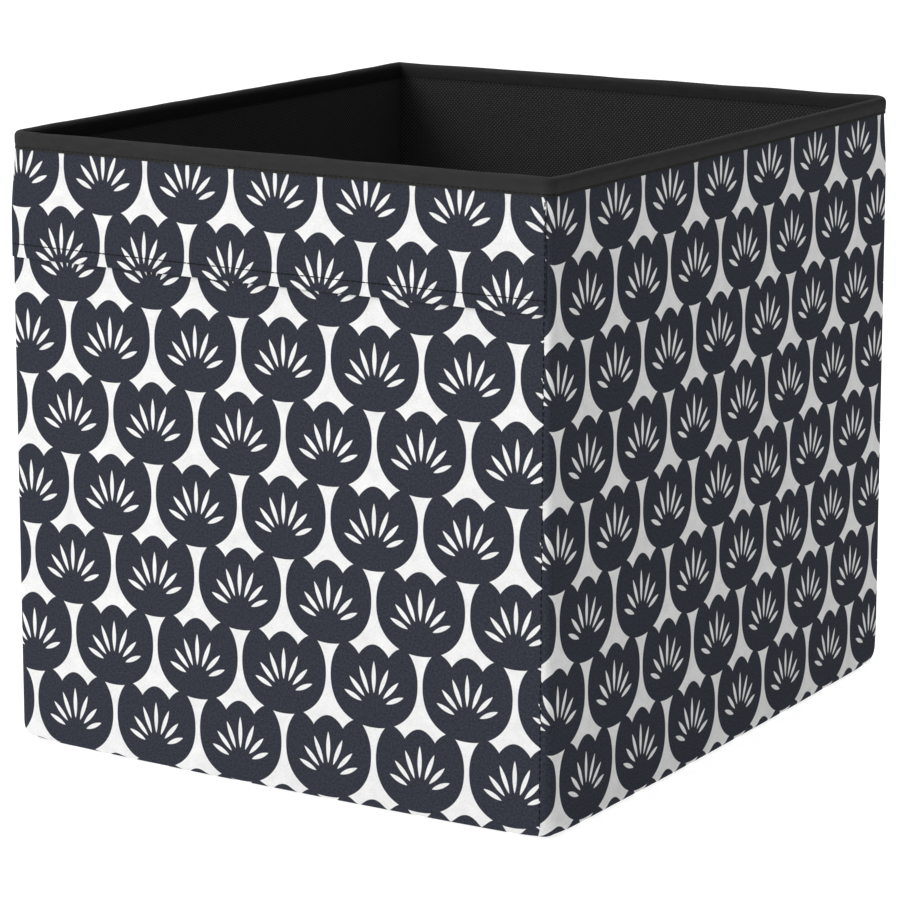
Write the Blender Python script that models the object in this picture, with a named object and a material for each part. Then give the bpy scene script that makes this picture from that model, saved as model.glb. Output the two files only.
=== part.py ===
"""Fabric storage bin that folds flat: four boarded fabric walls sewn at the corners, a bound rim,
a grip flap across the front, and a stiff base panel hinged to the right wall.

Metres, +Z up, origin at the centre of the footprint on the floor. The front, with the grip flap,
faces -Y. Each wall is laid out in its own frame, seen from outside: u runs to the right along the
wall, d runs inwards from the outermost plane, and z runs up.
"""

import math

import bmesh
import bpy
from mathutils import Matrix, Vector

MM = 0.001

# Driving dimensions of the whole bin, in metres.
WIDTH = 330 * MM            # along X, the front and the back wall
DEPTH = 380 * MM            # along Y, the side walls
HEIGHT = 330 * MM

# Layers of a wall, from the outermost plane inwards: (name, first depth, last depth).
SIDE_LAYERS = {
    "stitch": (0.0, 0.3 * MM),
    "binding": (0.6 * MM, 5.5 * MM),
    "cover": (1.4 * MM, 1.9 * MM),
    "board": (2.2 * MM, 4.0 * MM),
    "lining": (4.3 * MM, 4.7 * MM),
    "hem": (0.6 * MM, 4.0 * MM),
    "tape": (4.3 * MM, 5.5 * MM),
}
# The front wall has the grip flap as one more layer over its cover.
FRONT_LAYERS = {
    "stitch": (0.0, 0.3 * MM),
    "binding": (0.6 * MM, 6.3 * MM),
    "cover": (2.2 * MM, 2.7 * MM),
    "board": (3.0 * MM, 4.8 * MM),
    "lining": (5.1 * MM, 5.5 * MM),
    "hem": (0.6 * MM, 4.8 * MM),
    "tape": (5.1 * MM, 6.3 * MM),
}
SIDE_THICKNESS = SIDE_LAYERS["binding"][1]
FRONT_THICKNESS = FRONT_LAYERS["binding"][1]

GAP = 0.3 * MM              # between pieces that touch
MITRE_GAP = 0.25 * MM       # taken off each end of a wall, measured along the wall
FOLD_CLEARANCE = 2.5 * MM   # a closing corner turns about a line this far inside its walls

# Heights.
BINDING_HEIGHT = 10 * MM
BINDING_TOP = 0.5 * MM      # thickness of the tape over the rim
BINDING_LEG = 0.5 * MM
WALL_BOTTOM = 5.2 * MM      # boards, cover and lining start here, over the base panel
HEM_TOP = WALL_BOTTOM - GAP
HEM_EDGE = 3 * MM           # soft lower edge of the hem
TAPE_BOTTOM = 0.8 * MM
RIM_STITCH_Z = HEIGHT - BINDING_HEIGHT + 1.2 * MM
STITCH_HEIGHT = 0.5 * MM

# Grip flap on the front wall.
FLAP_DEPTHS = (1.4 * MM, 1.9 * MM)
FLAP_DROP = 67 * MM         # lower edge below the rim
FLAP_TOP = HEIGHT - BINDING_HEIGHT - 0.8 * MM
FLAP_HEM = 7.3 * MM         # stitch line above the lower edge
FLAP_STITCH_DEPTHS = (0.8 * MM, 1.1 * MM)
FLAP_HINGE_Z = FLAP_TOP + GAP
SEAM_INSET = 3.5 * MM       # vertical seam left of the front right corner
SEAM_DEPTHS = (1.6 * MM, 1.9 * MM)
SEAM_BOTTOM = 6 * MM

# Base panel: fabric, board, fabric. It hangs on a fabric hinge along the right wall.
BASE_LAYERS = {
    "base_bottom_fabric": (0.8 * MM, 1.3 * MM),
    "base_board": (1.6 * MM, 3.4 * MM),
    "base_top_fabric": (3.7 * MM, 4.1 * MM),
}
BASE_HINGE_Z = 4.4 * MM
BASE_HINGE_INSET = 0.4 * MM
TAPE_CLEARANCE = 0.6 * MM   # between a wall's loop tape and the base's hook tape
HOOK_TAPE_WIDTH = 1.2 * MM

COLOURS = {
    "cover": ((0.040, 0.043, 0.058), 0.85),
    "lining": (((0.014, 0.014, 0.015)), 0.90),
    "binding": ((0.030, 0.030, 0.030), 0.75),
    "board": ((0.30, 0.22, 0.14), 0.90),
    "thread": ((0.012, 0.012, 0.014), 0.60),
    "tape": ((0.010, 0.010, 0.011), 0.95),
}


def clear_scene():
    for obj in list(bpy.data.objects):
        bpy.data.objects.remove(obj, do_unlink=True)


def new_collection(name):
    collection = bpy.data.collections.new(name)
    bpy.context.scene.collection.children.link(collection)
    return collection


def principled(name, kind):
    colour, roughness = COLOURS[kind]
    material = bpy.data.materials.new(name)
    material.use_nodes = True
    shader = material.node_tree.nodes["Principled BSDF"]
    shader.inputs["Base Color"].default_value = (*colour, 1.0)
    shader.inputs["Roughness"].default_value = roughness
    shader.inputs["Metallic"].default_value = 0.0
    return material


class Body:
    """An empty on a joint's axis, which the pieces of one moving body are parented to."""

    def __init__(self, name, pivot, collection):
        self.collection = collection
        self.pivot = Vector(pivot)
        self.empty = bpy.data.objects.new(name + "_axis", None)
        self.empty.location = self.pivot
        collection.objects.link(self.empty)

    def add(self, name, bm, kind):
        bmesh.ops.recalc_face_normals(bm, faces=bm.faces)
        bmesh.ops.translate(bm, verts=bm.verts, vec=-self.pivot)
        mesh = bpy.data.meshes.new(name)
        bm.to_mesh(mesh)
        bm.free()
        mesh.materials.append(principled(name, kind))
        obj = bpy.data.objects.new(name, mesh)
        obj.parent = self.empty
        self.collection.objects.link(obj)
        return obj


class Wall:
    """One wall's frame. turn is the number of quarter turns from the front wall."""

    def __init__(self, name, turn, layers, body):
        self.name = name
        self.layers = layers
        self.body = body
        self.length = DEPTH if turn % 2 else WIDTH
        across = WIDTH if turn % 2 else DEPTH
        corner = Vector((-self.length / 2, -across / 2, 0))
        self.frame = Matrix.Rotation(turn * math.pi / 2, 4, "Z") @ Matrix.Translation(corner)

    def place(self, bm):
        bmesh.ops.transform(bm, matrix=self.frame, verts=bm.verts)
        return bm


def box(low, high):
    """A box between two corners, grown from a unit cube."""
    bm = bmesh.new()
    low, high = Vector(low), Vector(high)
    size = high - low
    bmesh.ops.create_cube(bm, size=1.0)
    bmesh.ops.scale(bm, vec=size, verts=bm.verts)
    bmesh.ops.translate(bm, vec=(low + high) / 2, verts=bm.verts)
    return bm


def mitre(bm, length, first=0.0, last=None):
    """Slants the ends of a wall piece so that it meets its neighbours at 45 degrees."""
    last = length if last is None else last
    middle = (first + last) / 2
    for vert in bm.verts:
        inwards = vert.co.y + MITRE_GAP
        vert.co.x += inwards if vert.co.x < middle else -inwards
    return bm


def soften_edge(bm, width, low_z, depth):
    """Rounds the long lower edge on the outer side of a hem."""
    def on_edge(vert):
        return abs(vert.co.z - low_z) < 1e-6 and abs(vert.co.y - depth) < 1e-6

    edges = [edge for edge in bm.edges if all(on_edge(vert) for vert in edge.verts)]
    bmesh.ops.bevel(bm, geom=edges, offset=width, segments=3, profile=0.5, affect="EDGES")
    return bm


def wall_strip(wall, layer, low_z, high_z):
    """A mitred strip of one layer over the whole length of a wall, in the wall's frame."""
    first, last = wall.layers[layer]
    return mitre(box((0, first, low_z), (wall.length, last, high_z)), wall.length)


def hide_cutter(bm, name, cutters):
    mesh = bpy.data.meshes.new(name)
    bm.to_mesh(mesh)
    bm.free()
    cutter = bpy.data.objects.new(name, mesh)
    cutter.hide_render = True
    cutter.display_type = "WIRE"
    cutters.objects.link(cutter)
    return cutter


def build_binding(wall, cutters):
    """Tape folded over the rim: a mitred block with a slot for the wall's layers."""
    low_z = HEIGHT - BINDING_HEIGHT
    block = wall.place(wall_strip(wall, "binding", low_z, HEIGHT))
    obj = wall.body.add(wall.name + "_binding", block, "binding")
    first, last = wall.layers["binding"]
    overrun = 5 * MM
    slot = box(
        (-overrun, first + BINDING_LEG, low_z - overrun),
        (wall.length + overrun, last - BINDING_LEG, HEIGHT - BINDING_TOP),
    )
    cutter = hide_cutter(wall.place(slot), wall.name + "_binding_slot", cutters)
    cut = obj.modifiers.new("slot", "BOOLEAN")
    cut.operation = "DIFFERENCE"
    cut.solver = "EXACT"
    cut.object = cutter
    return obj


def build_wall(wall, cutters):
    """Board, cover, lining, rim binding with its stitching, bottom hem and closure tape."""
    under_binding = HEIGHT - BINDING_TOP - GAP
    for layer, kind in (("cover", "cover"), ("board", "board"), ("lining", "lining")):
        strip = wall_strip(wall, layer, WALL_BOTTOM, under_binding)
        wall.body.add(f"{wall.name}_{layer}", wall.place(strip), kind)

    build_binding(wall, cutters)

    first, last = wall.layers["stitch"]
    end = wall.layers["binding"][0] + SIDE_THICKNESS
    stitch = box(
        (end, first, RIM_STITCH_Z),
        (wall.length - end, last, RIM_STITCH_Z + STITCH_HEIGHT),
    )
    wall.body.add(wall.name + "_rim_stitching", wall.place(stitch), "thread")

    hem = wall_strip(wall, "hem", 0, HEM_TOP)
    soften_edge(hem, HEM_EDGE, 0, wall.layers["hem"][0])
    wall.body.add(wall.name + "_hem", wall.place(hem), "cover")

    tape = wall_strip(wall, "tape", TAPE_BOTTOM, HEM_TOP)
    tape_name = "hinge_tape" if wall.name == "right" else "loop_tape"
    wall.body.add(f"{wall.name}_{tape_name}", wall.place(tape), "tape")


def build_grip_flap(front, flap_body):
    """Second fabric layer on the front, hanging from the binding and open at its lower edge."""
    seam_u = front.length - SEAM_INSET
    clear_of_seam = 2 * GAP
    low_z = HEIGHT - FLAP_DROP
    flap = box(
        (FLAP_DEPTHS[1], FLAP_DEPTHS[0], low_z),
        (seam_u - clear_of_seam, FLAP_DEPTHS[1], FLAP_TOP),
    )
    flap_body.add("grip_flap", front.place(flap), "cover")

    stitch_z = low_z + FLAP_HEM
    stitch = box(
        (FLAP_DEPTHS[1], FLAP_STITCH_DEPTHS[0], stitch_z),
        (seam_u - clear_of_seam, FLAP_STITCH_DEPTHS[1], stitch_z + STITCH_HEIGHT),
    )
    flap_body.add("grip_flap_hem_stitching", front.place(stitch), "thread")


def build_corner_seam(front):
    """Top-stitched vertical seam where the cover's two ends overlap."""
    seam_u = front.length - SEAM_INSET
    seam = box(
        (seam_u - STITCH_HEIGHT / 2, SEAM_DEPTHS[0], SEAM_BOTTOM),
        (seam_u + STITCH_HEIGHT / 2, SEAM_DEPTHS[1], HEIGHT - BINDING_HEIGHT - GAP),
    )
    front.body.add("corner_seam_stitching", front.place(seam), "thread")


def build_base(base_body):
    """Stiff base panel with hook tape on its three free edges."""
    left = -WIDTH / 2 + SIDE_THICKNESS + TAPE_CLEARANCE
    right = WIDTH / 2 - SIDE_THICKNESS - BASE_HINGE_INSET - GAP
    front = -DEPTH / 2 + FRONT_THICKNESS + TAPE_CLEARANCE
    back = DEPTH / 2 - SIDE_THICKNESS - TAPE_CLEARANCE
    edge = HOOK_TAPE_WIDTH + GAP

    kinds = {"base_board": "board"}
    for name, (low_z, high_z) in BASE_LAYERS.items():
        panel = box((left + edge, front + edge, low_z), (right, back - edge, high_z))
        base_body.add(name, panel, kinds.get(name, "lining"))

    low_z = BASE_LAYERS["base_bottom_fabric"][0]
    high_z = BASE_LAYERS["base_top_fabric"][1]
    tapes = {
        "base_front_hook_tape": ((left + edge, front), (right, front + HOOK_TAPE_WIDTH)),
        "base_back_hook_tape": ((left + edge, back - HOOK_TAPE_WIDTH), (right, back)),
        "base_left_hook_tape": ((left, front), (left + HOOK_TAPE_WIDTH, back)),
    }
    for name, (low, high) in tapes.items():
        base_body.add(name, box((*low, low_z), (*high, high_z)), "tape")


def main():
    clear_scene()
    parts = new_collection("fabric_storage_bin")
    cutters = new_collection("cutters")

    half_w, half_d = WIDTH / 2, DEPTH / 2
    closing = SIDE_THICKNESS + FOLD_CLEARANCE
    front_body = Body("front_wall", (0, -half_d, 0), parts)
    right_body = Body("right_wall", (half_w, -half_d, 0), parts)
    back_body = Body("back_wall", (half_w - closing, half_d - closing, 0), parts)
    left_body = Body("left_wall", (-half_w + closing, -half_d + closing, 0), parts)
    flap_depth = sum(FLAP_DEPTHS) / 2
    flap_body = Body("grip_flap", (0, -half_d + flap_depth, FLAP_HINGE_Z), parts)
    hinge_x = half_w - SIDE_THICKNESS - BASE_HINGE_INSET
    base_body = Body("base_panel", (hinge_x, 0, BASE_HINGE_Z), parts)

    walls = [
        Wall("front", 0, FRONT_LAYERS, front_body),
        Wall("right", 1, SIDE_LAYERS, right_body),
        Wall("back", 2, SIDE_LAYERS, back_body),
        Wall("left", 3, SIDE_LAYERS, left_body),
    ]
    for wall in walls:
        build_wall(wall, cutters)

    build_grip_flap(walls[0], flap_body)
    build_corner_seam(walls[0])
    build_base(base_body)


main()
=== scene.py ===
"""Looks of the folding fabric storage bin: printed cover, grip flap, bound rim, nonwoven lining,
stitching, boards and base panel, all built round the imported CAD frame.

Metres, +Z up, the front faces -Y. A place on a wall is given as (s, depth, z): s runs round the
bin from the front left corner, along the front, right, back and left walls, and depth runs inwards
from the outermost plane of the CAD model.
"""

import math

import bmesh
import bpy
import numpy as np
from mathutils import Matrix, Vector, noise


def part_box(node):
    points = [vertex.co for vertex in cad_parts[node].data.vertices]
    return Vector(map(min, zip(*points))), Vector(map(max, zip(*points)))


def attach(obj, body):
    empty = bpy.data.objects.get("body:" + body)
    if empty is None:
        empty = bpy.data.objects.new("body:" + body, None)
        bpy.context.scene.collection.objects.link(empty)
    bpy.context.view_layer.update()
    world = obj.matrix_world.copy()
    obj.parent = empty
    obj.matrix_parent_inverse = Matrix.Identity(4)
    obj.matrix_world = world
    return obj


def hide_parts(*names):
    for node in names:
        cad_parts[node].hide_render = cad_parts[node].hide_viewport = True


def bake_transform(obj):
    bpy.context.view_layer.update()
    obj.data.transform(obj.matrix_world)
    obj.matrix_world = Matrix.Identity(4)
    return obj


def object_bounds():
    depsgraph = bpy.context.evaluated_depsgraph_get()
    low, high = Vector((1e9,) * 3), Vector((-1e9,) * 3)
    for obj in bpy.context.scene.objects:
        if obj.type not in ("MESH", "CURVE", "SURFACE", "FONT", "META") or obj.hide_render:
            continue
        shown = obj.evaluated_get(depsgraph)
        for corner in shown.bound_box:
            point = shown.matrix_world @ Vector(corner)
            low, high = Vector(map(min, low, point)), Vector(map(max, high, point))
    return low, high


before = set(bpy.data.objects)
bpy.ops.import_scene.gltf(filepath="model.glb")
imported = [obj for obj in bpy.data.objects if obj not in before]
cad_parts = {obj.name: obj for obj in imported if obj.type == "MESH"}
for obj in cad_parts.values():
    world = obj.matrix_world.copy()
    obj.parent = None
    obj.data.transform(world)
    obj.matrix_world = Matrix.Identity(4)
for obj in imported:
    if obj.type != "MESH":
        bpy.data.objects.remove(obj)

MM = 0.001

# ---------------------------------------------------------------- sizes, from the frame
CAD_LOW, CAD_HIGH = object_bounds()
WIDTH, DEPTH, HEIGHT = CAD_HIGH - CAD_LOW
HALF_X, HALF_Y = WIDTH / 2, DEPTH / 2
BINDING_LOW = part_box("front_binding")[0].z
RIM_STITCH_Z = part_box("front_rim_stitching")[1].z
HEM_STITCH_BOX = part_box("grip_flap_hem_stitching")
FLAP_STITCH_Z = (HEM_STITCH_BOX[0].z + HEM_STITCH_BOX[1].z) / 2
SEAM_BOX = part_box("corner_seam_stitching")
SEAM_X = (SEAM_BOX[0].x + SEAM_BOX[1].x) / 2
SEAM_LOW, SEAM_HIGH = SEAM_BOX[0].z, SEAM_BOX[1].z

# Where each wall starts in s, and the whole way round.
FRONT_LEFT = 0.0
FRONT_RIGHT = WIDTH
BACK_RIGHT = WIDTH + DEPTH
BACK_LEFT = 2 * WIDTH + DEPTH
ROUND = 2 * (WIDTH + DEPTH)
SEAM_S = FRONT_RIGHT - (HALF_X - SEAM_X)

# Depths of the fabric layers below the outermost plane.
COVER_DEPTH = 1.2 * MM
FLAP_TOP_DEPTH = 0.65 * MM
FLAP_LOW_DEPTH = -0.5 * MM      # the flap's free edge stands off the wall
LINING_DEPTH = 5.6 * MM
BOARD_DEPTHS = (2.3 * MM, 4.3 * MM)
BINDING_INNER = 5.9 * MM
COVER_CLOTH = 0.5 * MM
LINING_CLOTH = 0.4 * MM
BINDING_CLOTH = 0.5 * MM

# Radii in plan of the vertical corners. The back left one, where the walls part as the bin
# folds, is tight all the way up.
CORNER_RADII = [4 * MM, 3.5 * MM, 4 * MM, 2.6 * MM]
RIM_RADII = [11 * MM, 5.5 * MM, 10 * MM, 2.6 * MM]
FOOT_RADII = [4 * MM, 6 * MM, 6 * MM, 2.6 * MM]
RIM_REACH = 45 * MM             # how far below the rim its rounder corners fade out
FOOT_REACH = 26 * MM
LEAST_RADIUS = 0.7 * MM
INNER_TIGHTENING = 2            # the layers inside the boards turn the corners more tightly

# How far the middle of each wall swells outwards, at the floor and at the rim, and how far the
# whole cover spreads towards the floor.
SWELL = [(4.0 * MM, 1.0 * MM), (2.2 * MM, 1.0 * MM), (2.4 * MM, 1.0 * MM), (2.2 * MM, 0.6 * MM)]
SPREAD = 1.8 * MM
HELD_DEPTH = 4.4 * MM           # deeper layers are held straight by the base panel,
HELD_REACH = 60 * MM            # up to this height
CALM_REACH = 60 * MM            # the binding calms the unevenness this far below the rim

# Pieces meet this far from a corner, clear of the zone that bends as the walls fold.
SPLIT = 19 * MM
OPENING_ZONE = 12 * MM


# ---------------------------------------------------------------- places on the bin
WALLS = [       # start in s, length, first corner, direction along, direction outwards
    (FRONT_LEFT, WIDTH, Vector((-HALF_X, -HALF_Y)), Vector((1, 0)), Vector((0, -1))),
    (FRONT_RIGHT, DEPTH, Vector((HALF_X, -HALF_Y)), Vector((0, 1)), Vector((1, 0))),
    (BACK_RIGHT, WIDTH, Vector((HALF_X, HALF_Y)), Vector((-1, 0)), Vector((0, 1))),
    (BACK_LEFT, DEPTH, Vector((-HALF_X, HALF_Y)), Vector((0, -1)), Vector((-1, 0))),
]
OPEN_CORNER = 3                 # the corner where the fourth wall starts


def ease(x):
    """0 below 0, 1 above 1 and a smooth step between."""
    x = min(1.0, max(0.0, x))
    return x * x * (3 - 2 * x)


def wall_at(s):
    """(number of the wall, share of the way along it) at s."""
    s = s % ROUND
    number = max(i for i, wall in enumerate(WALLS) if s >= wall[0])
    return number, (s - WALLS[number][0]) / WALLS[number][1]


def nearest_corner(number, share):
    return number if share < 0.5 else (number + 1) % 4


def corner_radius(number, share, z):
    """Radius in plan of the corner nearest to a place, on the outermost plane."""
    rim = ease((z - (HEIGHT - RIM_REACH)) / RIM_REACH)
    foot = ease((FOOT_REACH - z) / FOOT_REACH)
    corner = nearest_corner(number, share)
    radius = CORNER_RADII[corner]
    radius += (RIM_RADII[corner] - CORNER_RADII[corner]) * rim
    return radius + (FOOT_RADII[corner] - CORNER_RADII[corner]) * foot


def swell(number, share, s, depth, z):
    """How far a wall stands out of its flat plane: a slight bulge with soft unevenness.

    The lining keeps to the straight base panel at the floor, where only the cover bulges.
    """
    low, high = SWELL[number]
    crown = math.sin(math.pi * share) ** 0.8
    height = min(1.0, max(0.0, z / HEIGHT))
    calm = 0.25 + 0.75 * ease((HEIGHT - z) / CALM_REACH)
    uneven = 0.35 * MM * noise.noise(Vector((s * 14, z * 17, 3.7)))
    uneven += 0.12 * MM * noise.noise(Vector((s * 46, z * 39, 8.1)))
    bulge = (low + (high - low) * height + uneven * calm) * crown + SPREAD * (1 - height)
    held = ease((depth - HELD_DEPTH) / MM) * (1 - ease(z / HELD_REACH))
    return bulge * (1 - held)


def place(s, depth, z):
    """The point in space at (s, depth, z), and the outward normal in plan."""
    number, share = wall_at(s)
    tighter = max(0.0, depth - BOARD_DEPTHS[1]) * INNER_TIGHTENING
    radius = max(corner_radius(number, share, z) - depth - tighter, LEAST_RADIUS)
    _, length, corner, along, out = WALLS[number]
    a = depth + share * (length - 2 * depth)
    near = min(a - depth, length - depth - a)
    if near >= radius:
        point, normal = corner + along * a - out * depth, out
    else:
        turn = math.radians(45) * (1 - near / radius)
        if share < 0.5:
            centre, turn = corner + along * (depth + radius), -turn
        else:
            centre = corner + along * (length - depth - radius)
        centre = centre - out * (depth + radius)
        normal = out * math.cos(turn) + along * math.sin(turn)
        point = centre + normal * radius
    point = point + normal * swell(number, share, s, depth, z)
    return Vector((point.x, point.y, z)), Vector((normal.x, normal.y, 0))


def stops(first, last, step=5 * MM):
    """Values of s from first to last: even steps, and close together round the corners."""
    found = set(np.linspace(first, last, max(2, round((last - first) / step) + 1)).tolist())
    for corner in (FRONT_LEFT, FRONT_RIGHT, BACK_RIGHT, BACK_LEFT, ROUND):
        for offset in np.linspace(-OPENING_ZONE, OPENING_ZONE, 25):
            if first < corner + offset < last:
                found.add(float(corner + offset))
    kept = []
    for s in sorted(found):
        if not kept or s - kept[-1] > 0.35 * MM:
            kept.append(s)
    kept[-1] = last
    return kept


# ---------------------------------------------------------------- meshes
def new_object(name, bm, material):
    mesh = bpy.data.meshes.new(name)
    bm.to_mesh(mesh)
    bm.free()
    mesh.materials.append(material)
    mesh.shade_smooth()
    obj = bpy.data.objects.new(name, mesh)
    bpy.context.scene.collection.objects.link(obj)
    return obj


SHARP_EDGE = math.radians(50)


def apply_modifiers(obj):
    """Makes the object's evaluated mesh its own."""
    depsgraph = bpy.context.evaluated_depsgraph_get()
    mesh = bpy.data.meshes.new_from_object(
        obj.evaluated_get(depsgraph), preserve_all_data_layers=True, depsgraph=depsgraph
    )
    obj.modifiers.clear()
    obj.data = mesh
    return obj


def thicken(obj, thickness):
    solid = obj.modifiers.new("thickness", "SOLIDIFY")
    solid.thickness = thickness
    solid.offset = -1
    apply_modifiers(obj)
    obj.data.set_sharp_from_angle(angle=SHARP_EDGE)
    return obj


def fabric_strip(name, columns, profile, material, thickness, print_shift=(0, 0), tilt=0.0,
                 stretch=1.0):
    """Cloth round the bin: profile(s) gives its (depth, z) points at each s.

    A profile that climbs faces outwards and one that goes down faces inwards. The UV map is in
    metres: s, stretched, and z carried on along the cloth from the profile's top, both moved by
    print_shift and turned by tilt, a slope. Gives the object and the size of the flat piece.
    """
    bm = bmesh.new()
    uv_layer = bm.loops.layers.uv.new("cloth")
    grid, flat = [], {}
    for s in columns:
        points = [place(s, depth, z)[0] for depth, z in profile(s)]
        runs = [0.0]
        for a, b in zip(points, points[1:]):
            runs.append(runs[-1] + (b - a).length)
        climbs = points[-1].z > points[0].z
        column = []
        for point, run in zip(points, runs):
            up = points[-1].z - runs[-1] + run if climbs else points[0].z - run
            vert = bm.verts.new(point)
            u = s * stretch + print_shift[0]
            flat[vert] = (u, up + print_shift[1] - tilt * u)
            column.append(vert)
        grid.append(column)
    for left, right in zip(grid, grid[1:]):
        for k in range(len(left) - 1):
            face = bm.faces.new((left[k], right[k], right[k + 1], left[k + 1]))
            for loop in face.loops:
                loop[uv_layer].uv = flat[loop.vert]
    size = (columns[-1] - columns[0], runs[-1])
    return thicken(new_object(name, bm, material), thickness), size


def stitches(name, places, material, length, radius, sink=0.22 * MM):
    """Sewn thread: one short arched stitch at each (point, direction along, outward normal)."""
    bm = bmesh.new()
    rings, sides = 7, 6
    for middle, along, out in places:
        along, out = along.normalized(), out.normalized()
        across = along.cross(out)
        rows = []
        for i in range(rings):
            t = 2 * i / (rings - 1) - 1
            girth = radius * max(0.25, math.sqrt(1 - 0.92 * t * t))
            centre = middle + along * (t * length / 2) + out * (radius * 0.5 - sink * t * t)
            row = []
            for k in range(sides):
                angle = 2 * math.pi * k / sides
                offset = across * math.cos(angle) + out * math.sin(angle)
                row.append(bm.verts.new(centre + offset * girth))
            rows.append(row)
        for low, high in zip(rows, rows[1:]):
            for k in range(sides):
                n = (k + 1) % sides
                bm.faces.new((low[k], low[n], high[n], high[k]))
        bm.faces.new(rows[0][::-1])
        bm.faces.new(rows[-1])
    bm.normal_update()
    return new_object(name, bm, material)


def thread_row(first, last, depth, z, pitch, inwards=False):
    """Places for a row of stitches along s at one height."""
    count = max(1, round((last - first) / pitch))
    row = []
    for i in range(count):
        s = first + (i + 0.5) * (last - first) / count
        point, normal = place(s, depth, z)
        ahead, _ = place(s + MM, depth, z)
        row.append((point, ahead - point, -normal if inwards else normal))
    return row


# ---------------------------------------------------------------- node materials
def as_input(tree, socket, value):
    if isinstance(value, Field):
        tree.links.new(value.socket, socket)
    else:
        socket.default_value = value


class Field:
    """A number that varies over a surface: a node's output, with arithmetic that adds nodes."""

    def __init__(self, tree, socket):
        self.tree = tree
        self.socket = socket

    def math(self, operation, *others, swap=False, clamp=False):
        node = self.tree.nodes.new("ShaderNodeMath")
        node.operation = operation
        node.use_clamp = clamp
        values = (self,) + others
        if swap:
            values = values[::-1]
        for socket, value in zip(node.inputs, values):
            as_input(self.tree, socket, value)
        return Field(self.tree, node.outputs[0])

    def __add__(self, other):
        return self.math("ADD", other)

    def __sub__(self, other):
        return self.math("SUBTRACT", other)

    def __rsub__(self, other):
        return self.math("SUBTRACT", other, swap=True)

    def __mul__(self, other):
        return self.math("MULTIPLY", other)

    def __truediv__(self, other):
        return self.math("DIVIDE", other)

    __radd__ = __add__
    __rmul__ = __mul__

    def mod(self, period):
        """The distance from the nearest multiple of period, signed."""
        return (self + period / 2).math("FLOORED_MODULO", period) - period / 2

    def step(self, soft):
        """0 where this is well below zero and 1 where it is well above, soft wide between."""
        return (self / soft + 0.5).math("MINIMUM", 1.0).math("MAXIMUM", 0.0)


class Shader:
    """A principled material and short ways to add its nodes."""

    def __init__(self, name, **settings):
        self.material = bpy.data.materials.new(name)
        self.material.use_nodes = True
        self.tree = self.material.node_tree
        self.surface = self.tree.nodes["Principled BSDF"]
        for socket, value in settings.items():
            self.surface.inputs[socket.replace("_", " ")].default_value = value

    def node(self, kind, output=0, **inputs):
        node = self.tree.nodes.new(kind)
        for name, value in inputs.items():
            as_input(self.tree, node.inputs[name.replace("_", " ")], value)
        return Field(self.tree, node.outputs[output])

    def flat_place(self):
        """The cloth's own flat coordinates, in millimetres."""
        uv = self.tree.nodes.new("ShaderNodeUVMap")
        uv.uv_map = "cloth"
        split = self.node("ShaderNodeSeparateXYZ", Vector=Field(self.tree, uv.outputs[0]))
        outputs = split.socket.node.outputs
        return Field(self.tree, outputs[0]) / MM, Field(self.tree, outputs[1]) / MM

    def solid_place(self):
        """The piece's coordinates in space, in millimetres."""
        coordinates = self.tree.nodes.new("ShaderNodeTexCoord")
        place = Field(self.tree, coordinates.outputs["Object"])
        split = self.node("ShaderNodeSeparateXYZ", Vector=place)
        outputs = split.socket.node.outputs
        return [Field(self.tree, output) / MM for output in outputs]

    def noise(self, place, scale, detail=2.0):
        """Soft noise from 0 to 1, with features about scale millimetres across."""
        x, y, z = (list(place) + [0.0])[:3]
        vector = self.node("ShaderNodeCombineXYZ", X=x / scale, Y=y / scale, Z=0.0)
        if isinstance(z, Field):
            as_input(self.tree, vector.socket.node.inputs["Z"], z / scale)
        noise = self.node("ShaderNodeTexNoise", Vector=vector, Scale=1.0, Detail=detail)
        return ((noise - 0.5) * 2.0 + 0.5).math("MINIMUM", 1.0).math("MAXIMUM", 0.0)

    def mix(self, share, first, second):
        node = self.tree.nodes.new("ShaderNodeMix")
        node.data_type = "RGBA"
        as_input(self.tree, node.inputs[0], share)
        as_input(self.tree, node.inputs[6], first)
        as_input(self.tree, node.inputs[7], second)
        return Field(self.tree, node.outputs[2])

    def finish(self, colour, roughness, height, distance):
        """Links the varying colour and roughness, and a bump of distance metres."""
        as_input(self.tree, self.surface.inputs["Base Color"], colour)
        as_input(self.tree, self.surface.inputs["Roughness"], roughness)
        bump = self.tree.nodes.new("ShaderNodeBump")
        bump.inputs["Distance"].default_value = distance
        as_input(self.tree, bump.inputs["Height"], height)
        self.tree.links.new(bump.outputs[0], self.surface.inputs["Normal"])
        return self.material


def grey(level, blue=1.0):
    return (level, level, level * blue, 1.0)


# The printed repeat: rows of dark tulips, every other row half a repeat across. All in
# millimetres. A tulip is a cup, cut off along the top by three round petals.
REPEAT = 55.5           # across from tulip to tulip
ROW = 40.7              # and up from row to row
FIRST_TULIP = (32.1, 25.3)      # the middle of one cup
CUP = (26.3, 25.0)      # half width and half height
CUP_POWER = 2.2         # 2 would be an ellipse
PETAL = 18.0            # from petal to petal
PETAL_LOW, PETAL_RISE = 12.5, 6.0
VEIN_ROOT = 15.0        # how far the veins' fan starts below the middle of the cup
VEIN_SPACING = math.radians(22)
VEINS_EACH_SIDE = 3.0
VEIN_START, VEIN_TIP = 8.0, 25.0        # along the middle vein, from the fan's start
BLUR = 0.25             # softness of every printed edge


def cup_share(distance, half):
    """One direction's share of the cup's formula, which is 1 in all on its edge."""
    return (distance.math("ABSOLUTE") / half).math("POWER", CUP_POWER)


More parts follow.
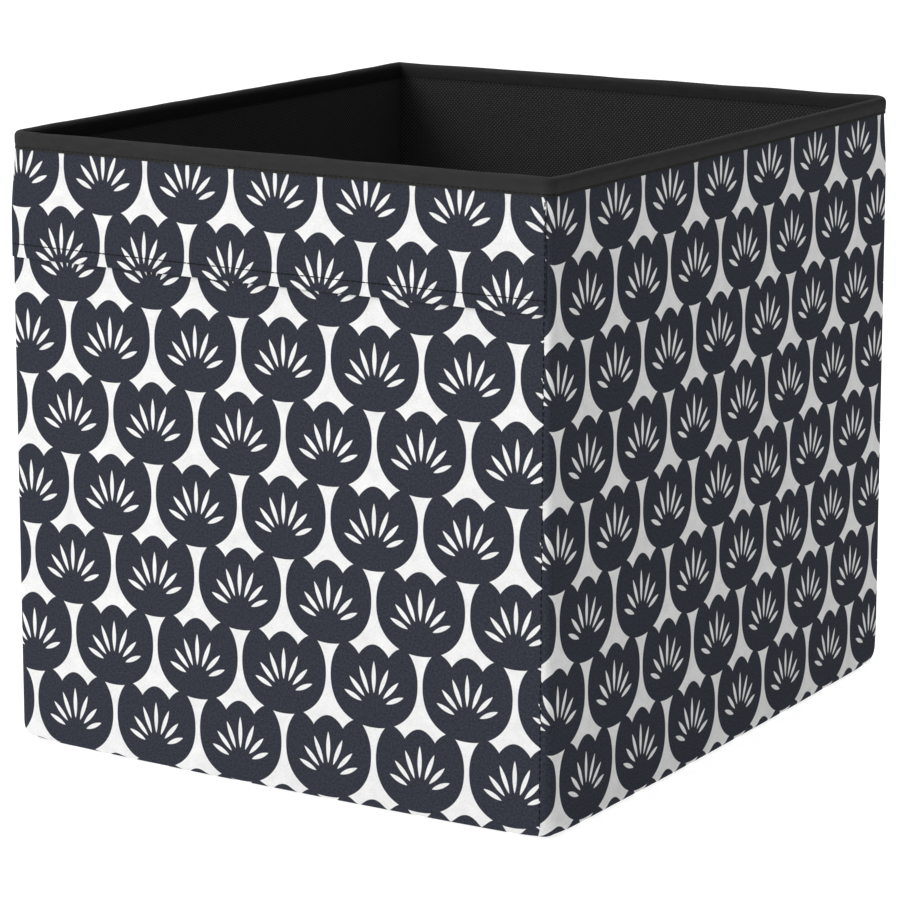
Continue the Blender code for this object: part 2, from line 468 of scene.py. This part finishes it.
def tulip_row(u, v, parity):
    """(tulips, the veins inside them) of every other row, each 0 or 1."""
    across = (u - (FIRST_TULIP[0] + parity * REPEAT / 2)).mod(REPEAT)
    height = (v - (FIRST_TULIP[1] + parity * ROW)).mod(2 * ROW)
    inside = 1.0 - (cup_share(across, CUP[0]) + cup_share(height, CUP[1]))
    petals = (across * (math.pi / PETAL)).math("COSINE").math("ABSOLUTE").math("POWER", 0.8)
    cup = (inside * (CUP[0] / CUP_POWER)).step(BLUR)
    cup = cup * (petals * PETAL_RISE + PETAL_LOW - height).step(BLUR)

    fan_y = height + VEIN_ROOT
    reach = (across * across + fan_y * fan_y).math("SQRT")
    angle = across.math("ARCTAN2", fan_y)
    nearest = (angle / VEIN_SPACING).math("ROUND")
    nearest = nearest.math("MINIMUM", VEINS_EACH_SIDE).math("MAXIMUM", -VEINS_EACH_SIDE)
    off = angle - nearest * VEIN_SPACING
    side = (reach * off.math("SINE")).math("ABSOLUTE")
    tip = VEIN_TIP - nearest.math("ABSOLUTE") * 1.8
    along = ((reach - VEIN_START) / (tip - VEIN_START)).math("MINIMUM", 1.0).math("MAXIMUM", 0.0)
    width = (along * math.pi).math("SINE").math("MAXIMUM", 0.0).math("POWER", 0.7) * 1.35 - 0.12
    return cup, (width - side).step(BLUR)


# Pitches in millimetres of the weave, the lining's pressed points, the ribs and the thread.
WEAVE = 0.5
BOND_PITCH = 2.4
RIB_PITCH = 0.6
TWIST_PITCH = 0.45


def print_cloth():
    shader = Shader("printed_fabric", Specular_IOR_Level=0.04, Sheen_Weight=0.0)
    u, v = shader.flat_place()
    cups, veins = tulip_row(u, v, 0)
    more_cups, more_veins = tulip_row(u, v, 1)
    white = 1.0 - cups.math("MAXIMUM", more_cups)
    white = white.math("MAXIMUM", veins.math("MAXIMUM", more_veins))
    mottle = shader.noise((u, v), 9, 3.0)
    speck = shader.noise((u, v), 1.1, 3.0)
    turn = 2 * math.pi / WEAVE
    weave = (u * turn).math("SINE") * (v * turn).math("SINE")
    ink = shader.mix(speck, (0.020, 0.022, 0.031, 1), (0.050, 0.056, 0.074, 1))
    ground = shader.mix(mottle * 0.5 + speck * 0.5, grey(0.73), grey(0.94, 0.995))
    colour = shader.mix(white, ink, ground)
    roughness = 0.78 + speck * 0.12 - white * 0.06
    height = weave * 0.5 + speck * 0.8 + mottle * 0.6
    return shader.finish(colour, roughness, height, 0.10 * MM)


def lining_cloth():
    """Black nonwoven, pressed with small points in diagonal rows."""
    shader = Shader("lining_nonwoven", Specular_IOR_Level=0.3, Sheen_Weight=0.10)
    u, v = shader.flat_place()
    turn = 2 * math.pi / BOND_PITCH
    points = ((u + v) * turn).math("COSINE") + ((u - v) * turn).math("COSINE")
    dimple = (points - 1.1).step(0.9)
    fibres = shader.noise((u, v * 0.35), 0.7, 4.0)
    mottle = shader.noise((u, v), 14, 3.0)
    colour = shader.mix(fibres * 0.7 + mottle * 0.3, grey(0.006, 1.1), grey(0.019, 1.08))
    colour = shader.mix(dimple, colour, grey(0.064, 1.05))
    roughness = 0.80 - dimple * 0.25
    return shader.finish(colour, roughness, fibres * 0.6 + mottle * 0.5 - dimple, 0.12 * MM)


def binding_tape():
    """Ribbed tape, ribs across its length."""
    shader = Shader("binding_tape", Specular_IOR_Level=0.06, Sheen_Weight=0.0)
    u, v = shader.flat_place()
    ribs = (u * (2 * math.pi / RIB_PITCH)).math("SINE") * 0.5 + 0.5
    fibres = shader.noise((u, v), 0.5, 3.0)
    mottle = shader.noise((u, v * 3.0), 11, 3.0)
    colour = shader.mix(ribs * 0.3 + fibres * 0.4 + mottle * 0.3, grey(0.017), grey(0.040))
    roughness = 0.68 + fibres * 0.2
    return shader.finish(colour, roughness, ribs * 0.5 + fibres * 0.5 + mottle * 1.2, 0.10 * MM)


def sewing_thread():
    shader = Shader("sewing_thread", Specular_IOR_Level=0.08, Sheen_Weight=0.0)
    x, y, z = shader.solid_place()
    twist = ((x + y + z * 0.8) * (2 * math.pi / TWIST_PITCH)).math("SINE") * 0.5 + 0.5
    fibres = shader.noise((x, y, z), 0.3)
    colour = shader.mix(twist * 0.6 + fibres * 0.4, grey(0.006, 1.1), grey(0.018, 1.1))
    return shader.finish(colour, 0.55 + fibres * 0.2, twist, 0.06 * MM)


def grey_board():
    """Pressed grey-brown board with short fibres."""
    shader = Shader("grey_board", Specular_IOR_Level=0.2)
    x, y, z = shader.solid_place()
    fibres = shader.noise((x, y * 0.5, z), 1.6, 5.0)
    flecks = shader.noise((x, y, z), 0.6, 2.0)
    colour = shader.mix(fibres, (0.17, 0.14, 0.105, 1), (0.32, 0.28, 0.225, 1))
    colour = shader.mix((flecks - 0.66).step(0.08), colour, (0.09, 0.08, 0.07, 1))
    return shader.finish(colour, 0.85 + fibres * 0.1, fibres + flecks * 0.5, 0.12 * MM)


def closure_tape():
    """Hook-and-loop tape: a tight black pile."""
    shader = Shader("closure_tape", Specular_IOR_Level=0.25, Sheen_Weight=0.4)
    x, y, z = shader.solid_place()
    pile = shader.noise((x, y, z), 0.45, 4.0)
    tufts = shader.noise((x, y, z), 1.3, 2.0)
    colour = shader.mix(pile * 0.6 + tufts * 0.4, grey(0.008), grey(0.034))
    return shader.finish(colour, 0.9 + pile * 0.05, pile + tufts, 0.25 * MM)


PRINT = print_cloth()
LINING = lining_cloth()
BINDING = binding_tape()
THREAD = sewing_thread()
BOARD = grey_board()
TAPE = closure_tape()


# ---------------------------------------------------------------- how pieces are placed
def on_front(obj):
    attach(obj, "front_wall")


def across_front_right(obj):
    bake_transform(obj)


def across_seam(obj):
    """For the cover from its seam round the front right corner, where it bends: bakes its
    placement into the mesh.
    """
    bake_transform(obj)


def across_back_right(obj):
    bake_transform(obj)


def across_front_left(obj):
    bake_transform(obj)


# name of the wall, first and last s of its lining and binding, and how they are placed
SPANS = [
    ("front", FRONT_LEFT + SPLIT, FRONT_RIGHT - SPLIT, on_front),
    ("right", FRONT_RIGHT - SPLIT, BACK_RIGHT - SPLIT, across_front_right),
    ("back", BACK_RIGHT - SPLIT, BACK_LEFT, across_back_right),
    ("left", BACK_LEFT, ROUND + SPLIT, across_front_left),
]


def finish_piece(obj, follow, replaced=()):
    """Places a piece with follow, which attaches the front pieces to the front wall's body, and
    hides the CAD parts it stands for.
    """
    follow(obj)
    if replaced:
        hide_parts(*replaced)


# ---------------------------------------------------------------- cover
COVER_TOP = HEIGHT - 4 * MM
FRONT_PRINT_SHIFT = (-5.7 * MM, 2.0 * MM)
RIGHT_PRINT_SHIFT = (1.2 * MM, -2.3 * MM)
FLAP_PRINT_SHIFT = (-4.5 * MM, -5.1 * MM)
PRINT_TILT = 0.0176             # the print runs slightly uphill along the front
FRONT_STRETCH = 1.01
FLAP_STRETCH = 1.028
HEM_DEPTH = 5.2 * MM
HEM_TOP = 5.0 * MM
HEM_POINTS = 3
COVER_FLOOR = 0.2 * MM
BALL_REACH = 13 * MM            # how far from a corner its rounder bottom edge fades out
EDGE_STEPS = 8
LOW_LEVELS, HIGH_LEVELS = 7, 55         # rows of points below and above LEVEL_CHANGE
LEVEL_CHANGE = 40 * MM


def cover_profile(s):
    """Up the wall from the turned hem: the bottom edge is soft, and ball-like at the corners."""
    number, share = wall_at(s)
    away = min(share, 1 - share) * WALLS[number][1]
    ball = math.exp(-((away / BALL_REACH) ** 2))
    if nearest_corner(number, share) == OPEN_CORNER:
        ball = 0.0
    rise = (3.5 + 5.5 * ball) * MM
    reach = (2.6 + 1.8 * ball) * MM
    profile = []
    if COVER_DEPTH + reach <= HEM_DEPTH + 0.1 * MM:
        profile.append((HEM_DEPTH, HEM_TOP))
        profile.append((HEM_DEPTH, 2 * MM))
        profile.append((HEM_DEPTH - 0.4 * MM, COVER_FLOOR + 0.3 * MM))
    for i in range(EDGE_STEPS + 1):
        angle = math.radians(90) * (1 - i / EDGE_STEPS)
        depth = COVER_DEPTH + reach * (1 - math.cos(angle))
        profile.append((depth, COVER_FLOOR + rise * (1 - math.sin(angle))))
    levels = list(np.linspace(profile[-1][1], LEVEL_CHANGE, LOW_LEVELS + 1)[1:])
    levels += list(np.linspace(LEVEL_CHANGE, COVER_TOP, HIGH_LEVELS + 1)[1:])
    profile += [(COVER_DEPTH, float(z)) for z in levels]
    return profile


def even_profile(s):
    """The cover's profile with the same number of points everywhere."""
    profile = cover_profile(s)
    while len(profile) < HEM_POINTS + EDGE_STEPS + 1 + LOW_LEVELS + HIGH_LEVELS:
        profile.insert(0, profile[0])
    return profile


def build_cover():
    spans = [
        ("front", FRONT_LEFT + SPLIT, SEAM_S, on_front, FRONT_PRINT_SHIFT, PRINT_TILT,
         FRONT_STRETCH),
        ("right", SEAM_S, BACK_RIGHT - SPLIT, across_seam, RIGHT_PRINT_SHIFT, 0, 1),
        ("back", BACK_RIGHT - SPLIT, BACK_LEFT, across_back_right, RIGHT_PRINT_SHIFT, 0, 1),
        ("left", BACK_LEFT, ROUND + SPLIT, across_front_left,
         (FRONT_PRINT_SHIFT[0] - ROUND * FRONT_STRETCH, FRONT_PRINT_SHIFT[1]), PRINT_TILT,
         FRONT_STRETCH),
    ]
    for wall, first, last, follow, shift, tilt, stretch in spans:
        cover, flat = fabric_strip(wall + "_printed_cover", stops(first, last), even_profile,
                                   PRINT, COVER_CLOTH, shift, tilt, stretch)
        finish_piece(cover, follow, (wall + "_cover", wall + "_hem"))


# ---------------------------------------------------------------- lining, binding, boards
def lining_profile(s):
    top = HEIGHT - 5 * MM
    levels = np.linspace(top, 4.6 * MM, 60)
    return [(LINING_DEPTH, float(z)) for z in levels]


STITCH_DRAW = 0.62 * MM         # how deep the rim stitching pulls the binding in
INNER_DRAW = 0.4                # share of that on the inside of the rim
RIM_PITCH = 3.2 * MM
FLAP_PITCH = 3.0 * MM
SEAM_PITCH = 3.4 * MM


def binding_profile(s):
    """Round the rim from the outer lower edge to the inner one, drawn in where it is sewn."""
    wander = 0.35 * MM * noise.noise(Vector((s * 22, 5.0, 1.0)))
    lift = 0.45 * MM * noise.noise(Vector((s * 30, 1.0, 7.0)))
    middle = BINDING_INNER / 2
    shoulder = HEIGHT - middle
    low = BINDING_LOW + 0.6 * MM + wander * 0.6
    outer = [
        (0.30 * MM, low), (0.45 * MM, low + 0.4 * MM),
        (STITCH_DRAW, RIM_STITCH_Z), (0.35 * MM, RIM_STITCH_Z + 0.8 * MM),
        (0.12 * MM, RIM_STITCH_Z + 2.0 * MM), (0.0, RIM_STITCH_Z + 4.0 * MM),
    ]
    arch = []
    for i in range(13):
        angle = math.pi * i / 12
        z = shoulder + (middle + lift - 0.25 * MM) * math.sin(angle)
        arch.append((middle - middle * math.cos(angle), z))
    inner = [(BINDING_INNER - depth * INNER_DRAW, z) for depth, z in outer[::-1]]
    return outer + arch + inner


def build_walls():
    for wall, first, last, follow in SPANS:
        columns = stops(first, last)
        lining, flat = fabric_strip(wall + "_nonwoven_lining", columns, lining_profile, LINING,
                                    LINING_CLOTH)
        finish_piece(lining, follow, (wall + "_lining",))
        columns = stops(first, last, 2.5 * MM)
        binding, flat = fabric_strip(wall + "_rim_binding", columns, binding_profile, BINDING,
                                     BINDING_CLOTH)
        finish_piece(binding, follow, (wall + "_binding",))
        rows = thread_row(first, last, STITCH_DRAW, RIM_STITCH_Z, RIM_PITCH)
        inner = BINDING_INNER - STITCH_DRAW * INNER_DRAW
        rows += thread_row(first, last, inner, RIM_STITCH_Z, RIM_PITCH, True)
        thread = stitches(wall + "_rim_thread", rows, THREAD, 2.6 * MM, 0.24 * MM)
        finish_piece(thread, follow, (wall + "_rim_stitching",))


def build_boards():
    for number, (wall, _, _, _) in enumerate(SPANS):
        start, length = WALLS[number][0], WALLS[number][1]
        low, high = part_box(wall + "_board")
        span = high.x - low.x if number % 2 == 0 else high.y - low.y
        inset = (length - span) / 2
        bm = bmesh.new()
        shells = []
        for depth in BOARD_DEPTHS:
            shell = []
            for s in np.linspace(start + inset, start + length - inset, 40):
                levels = np.linspace(low.z, high.z - 3 * MM, 34)
                shell.append([bm.verts.new(place(float(s), depth, float(z))[0]) for z in levels])
            shells.append(shell)
        outer, inner = shells
        for shell, flip in ((outer, False), (inner, True)):
            for left, right in zip(shell, shell[1:]):
                for k in range(len(left) - 1):
                    corners = (left[k], right[k], right[k + 1], left[k + 1])
                    bm.faces.new(corners[::-1] if flip else corners)
        rim = [column[0] for column in outer] + outer[-1][1:]
        rim += [column[-1] for column in outer[-2::-1]] + outer[0][-2:0:-1]
        back = [column[0] for column in inner] + inner[-1][1:]
        back += [column[-1] for column in inner[-2::-1]] + inner[0][-2:0:-1]
        for i in range(len(rim)):
            n = (i + 1) % len(rim)
            bm.faces.new((rim[n], rim[i], back[i], back[n]))
        board = new_object(wall + "_stiffener", bm, BOARD)
        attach(board, wall + "_wall")
        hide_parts(wall + "_board")


# ---------------------------------------------------------------- grip flap and corner seam
FLAP_START = -2.5 * MM          # the flap is caught in the front left corner, just round it
FLAP_TOP = BINDING_LOW + 1.2 * MM       # tucked behind the binding
FLAP_END = SEAM_S + 0.4 * MM
FLAP_LOW = 263.6 * MM
FLAP_HEM = 8 * MM
FLAP_FOLD = 0.55 * MM           # from the flap's face to the back of its turned hem
FLAP_CLOTH = 0.25 * MM


def flap_depth(s, z):
    """The flap hangs from the binding and stands off a little more towards its free edge."""
    share = (s - FLAP_START) / (FLAP_END - FLAP_START)
    free = min(1.0, max(0.0, math.sin(math.pi * share))) ** 0.35
    drop = ease((FLAP_TOP - z) / (FLAP_TOP - FLAP_LOW))
    ripple = 0.22 * MM * noise.noise(Vector((s * 24, z * 9, 2.0)))
    return FLAP_TOP_DEPTH + ((FLAP_LOW_DEPTH - FLAP_TOP_DEPTH) * free + ripple * free) * drop


def flap_profile(s):
    """Down the back of the turned hem, round the free edge and up the face to the binding."""
    edge = FLAP_LOW + 0.5 * MM * noise.noise(Vector((s * 12, 4.0, 6.0)))
    behind = FLAP_FOLD
    profile = []
    for z in np.linspace(edge + FLAP_HEM, edge + 0.6 * MM, 5):
        profile.append((flap_depth(s, float(z)) + behind, float(z)))
    profile.append((flap_depth(s, edge) + behind * 0.7, edge + 0.1 * MM))
    profile.append((flap_depth(s, edge) + behind * 0.3, edge))
    for z in np.linspace(edge + 0.4 * MM, FLAP_TOP, 18):
        profile.append((flap_depth(s, float(z)), float(z)))
    return profile


def build_flap():
    halves = [("left", FLAP_START, FRONT_RIGHT / 2), ("right", FRONT_RIGHT / 2, FLAP_END)]
    for side, first, last in halves:
        sewn = first if side == "left" else last
        sewn_x = -HALF_X + sewn

        def follow(obj, sewn_x=sewn_x):
            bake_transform(obj)

        flap, flat = fabric_strip("grip_flap_" + side, stops(first, last, 4 * MM), flap_profile,
                                  PRINT, FLAP_CLOTH, FLAP_PRINT_SHIFT, 0, FLAP_STRETCH)
        finish_piece(flap, follow, ("grip_flap",))
        row = []
        first_stitch = max(first, 2 * MM)
        count = round((last - first_stitch) / FLAP_PITCH)
        for i in range(count):
            s = first_stitch + (i + 0.5) * (last - first_stitch) / count
            point, normal = place(s, flap_depth(s, FLAP_STITCH_Z), FLAP_STITCH_Z)
            ahead, _ = place(s + MM, flap_depth(s + MM, FLAP_STITCH_Z), FLAP_STITCH_Z)
            row.append((point, ahead - point, normal))
        thread = stitches("grip_flap_thread_" + side, row, THREAD, 2.9 * MM, 0.3 * MM, 0.12 * MM)
        finish_piece(thread, follow, ("grip_flap_hem_stitching",))


def build_corner_seam():
    """The row of stitches that closes the cover, up the front beside the right corner."""
    row = []
    s = SEAM_S - 0.3 * MM
    for i in range(int((SEAM_HIGH - SEAM_LOW) / SEAM_PITCH)):
        z = SEAM_LOW + (i + 0.5) * SEAM_PITCH
        depth = COVER_DEPTH if z < FLAP_LOW else flap_depth(s, z)
        point, normal = place(s, depth, z)
        row.append((point, Vector((0, 0, 1)), normal))
    thread = stitches("corner_seam_thread", row, THREAD, 2.6 * MM, 0.34 * MM)
    finish_piece(thread, on_front, ("corner_seam_stitching",))


# ---------------------------------------------------------------- base panel and tapes
def slab(name, low, high, material, puff, corner=5 * MM, step=6 * MM):
    """A thin sewn panel: rounded corners, soft edges and a slightly padded face."""
    bm = bmesh.new()
    uv_layer = bm.loops.layers.uv.new("cloth")
    nx = max(2, round((high.x - low.x) / step))
    ny = max(2, round((high.y - low.y) / step))
    thickness = high.z - low.z
    middle = (low + high) / 2
    half = (high - low) / 2
    grid = []
    for i in range(nx + 1):
        column = []
        for j in range(ny + 1):
            x = (2 * i / nx - 1) * half.x
            y = (2 * j / ny - 1) * half.y
            over_x = max(0.0, abs(x) - (half.x - corner))
            over_y = max(0.0, abs(y) - (half.y - corner))
            over = math.hypot(over_x, over_y)
            if over > corner:
                x -= math.copysign(over_x * (1 - corner / over), x)
                y -= math.copysign(over_y * (1 - corner / over), y)
            edge = min(half.x - abs(x), half.y - abs(y))
            lift = puff * (1 - math.exp(-edge / (12 * MM)))
            lift += puff * 0.5 * noise.noise(Vector((x * 22, y * 22, 4.0)))
            column.append(bm.verts.new((middle.x + x, middle.y + y, high.z - abs(puff) + lift)))
        grid.append(column)
    for left, right in zip(grid, grid[1:]):
        for k in range(len(left) - 1):
            face = bm.faces.new((left[k], right[k], right[k + 1], left[k + 1]))
            for loop in face.loops:
                loop[uv_layer].uv = (loop.vert.co.x, loop.vert.co.y)
    return thicken(new_object(name, bm, material), thickness)


def pile_strip(name, node, material):
    """A closure tape: a soft strip whose face is a close pile of small tufts."""
    low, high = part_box(node)
    half = (high - low) / 2
    middle = (low + high) / 2
    along = 0 if half.x > half.y else 1
    across = 1 - along
    bm = bmesh.new()
    count = round(2 * half[along] / (1.3 * MM))
    ring = []
    sides = 12
    for k in range(sides):
        angle = 2 * math.pi * k / sides
        x, y = math.cos(angle), math.sin(angle)
        ring.append((math.copysign(abs(x) ** 0.45, x), math.copysign(abs(y) ** 0.45, y)))
    rows = []
    for i in range(count + 1):
        t = 2 * i / count - 1
        row = []
        for k, (a, b) in enumerate(ring):
            tuft = 0.92 + 0.08 * math.cos(math.pi * (i + k))
            point = Vector((0, 0, 0))
            point[along] = t * half[along]
            point[across] = a * half[across] * tuft
            point.z = b * half.z * tuft
            row.append(bm.verts.new(middle + point))
        rows.append(row)
    for first, second in zip(rows, rows[1:]):
        for k in range(sides):
            n = (k + 1) % sides
            bm.faces.new((first[k], first[n], second[n], second[k]))
    bm.faces.new(rows[0][::-1])
    bm.faces.new(rows[-1])
    bmesh.ops.recalc_face_normals(bm, faces=bm.faces[:])
    strip = new_object(name, bm, material)
    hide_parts(node)
    return strip


def build_base():
    low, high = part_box("base_top_fabric")
    clear = 0.1 * MM            # the top cloth covers the closure tapes, nearly to the walls
    low.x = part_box("left_loop_tape")[1].x + clear
    low.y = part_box("front_loop_tape")[1].y + clear
    high.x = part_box("right_hinge_tape")[0].x - clear
    high.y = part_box("back_loop_tape")[0].y - clear
    top_size = (high.x - low.x, high.y - low.y)
    top = slab("base_top_cloth", low, high, LINING, 0.25 * MM, 1.5 * MM)
    low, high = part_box("base_bottom_fabric")
    bottom_size = (high.x - low.x, high.y - low.y)
    bottom = slab("base_bottom_cloth", low, high, LINING, -0.15 * MM)
    cloths = ((top, "base_top_fabric", top_size), (bottom, "base_bottom_fabric", bottom_size))
    for cloth, node, size in cloths:
        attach(cloth, "base_panel")
        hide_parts(node)
    board = bpy.data.objects["base_board"]
    board.material_slots[0].material = BOARD
    for edge in ("front", "back", "left"):
        strip = pile_strip("base_%s_hooks" % edge, "base_%s_hook_tape" % edge, TAPE)
        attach(strip, "base_panel")
        strip = pile_strip("%s_wall_loops" % edge, edge + "_loop_tape", TAPE)
        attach(strip, edge + "_wall")
    strip = pile_strip("right_wall_hinge_tape", "right_hinge_tape", TAPE)
    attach(strip, "right_wall")


# ---------------------------------------------------------------- floor, light and camera
FLOOR_GLOW = 0.87               # the floor's own light, which keeps it white round the bin


def build_stage():
    bm = bmesh.new()
    below = -0.2 * MM
    sides = 48
    circles = []
    for radius in (0.6, 2.0, 6.0, 30.0):
        circle = []
        for k in range(sides):
            angle = 2 * math.pi * k / sides
            x, y = radius * math.cos(angle), radius * math.sin(angle)
            circle.append(bm.verts.new((x, y, below)))
        circles.append(circle)
    bm.faces.new(circles[0])
    for inner, outer in zip(circles, circles[1:]):
        for k in range(sides):
            n = (k + 1) % sides
            bm.faces.new((inner[k], outer[k], outer[n], inner[n]))
    shader = Shader("pale_floor", Specular_IOR_Level=0.0)
    x, y, _ = shader.solid_place()
    tone = shader.noise((x, y), 400, 2.0)
    colour = shader.mix(tone, grey(0.34), grey(0.36))
    material = shader.finish(colour, 0.9 + tone * 0.05, tone, 0.1 * MM)
    shader.surface.inputs["Emission Color"].default_value = grey(1.0)
    shader.surface.inputs["Emission Strength"].default_value = FLOOR_GLOW
    new_object("floor", bm, material)


def area_light(name, position, target, size, power):
    light = bpy.data.lights.new(name, "AREA")
    light.shape = "DISK"
    light.size = size
    light.energy = power
    obj = bpy.data.objects.new(name, light)
    obj.location = position
    obj.rotation_euler = (Vector(target) - Vector(position)).to_track_quat("-Z", "Y").to_euler()
    bpy.context.scene.collection.objects.link(obj)


def build_light():
    """A pale surround, darker towards the right and lighter overhead, with a soft key light
    from the front left and another from above."""
    world = bpy.data.worlds.new("studio")
    bpy.context.scene.world = world
    world.use_nodes = True
    tree = world.node_tree
    direction = tree.nodes.new("ShaderNodeTexCoord")
    split = tree.nodes.new("ShaderNodeSeparateXYZ")
    tree.links.new(direction.outputs["Generated"], split.inputs[0])
    up = Field(tree, split.outputs[2])
    level = Field(tree, split.outputs[0]) * -0.90 + 0.50 + up * up * 0.60
    level = level.math("MAXIMUM", 0.02)
    tree.links.new(level.socket, tree.nodes["Background"].inputs["Strength"])
    tree.nodes["Background"].inputs["Color"].default_value = grey(1.0)
    area_light("key", (-1.6, -2.6, 2.2), (0, 0, 0.15), 1.6, 42)
    area_light("top", (0, 0, 3.4), (0, 0, 0), 2.4, 14)
    bpy.context.scene.view_settings.view_transform = "Standard"


def build_camera():
    """The photograph's viewing angle, fitted to the bin's edges, with no shift."""
    camera = bpy.data.cameras.new("camera")
    camera.lens = 140.55
    camera.sensor_width = 36    # millimetres
    obj = bpy.data.objects.new("camera", camera)
    obj.location = (0.9932, -1.6192, 0.5703)
    obj.rotation_euler = (math.radians(90 - 12.701), 0, math.radians(31.783))
    bpy.context.scene.collection.objects.link(obj)
    bpy.context.scene.camera = obj


build_camera()
build_stage()
build_light()
build_cover()
build_walls()
build_boards()
build_flap()
build_corner_seam()
build_base()
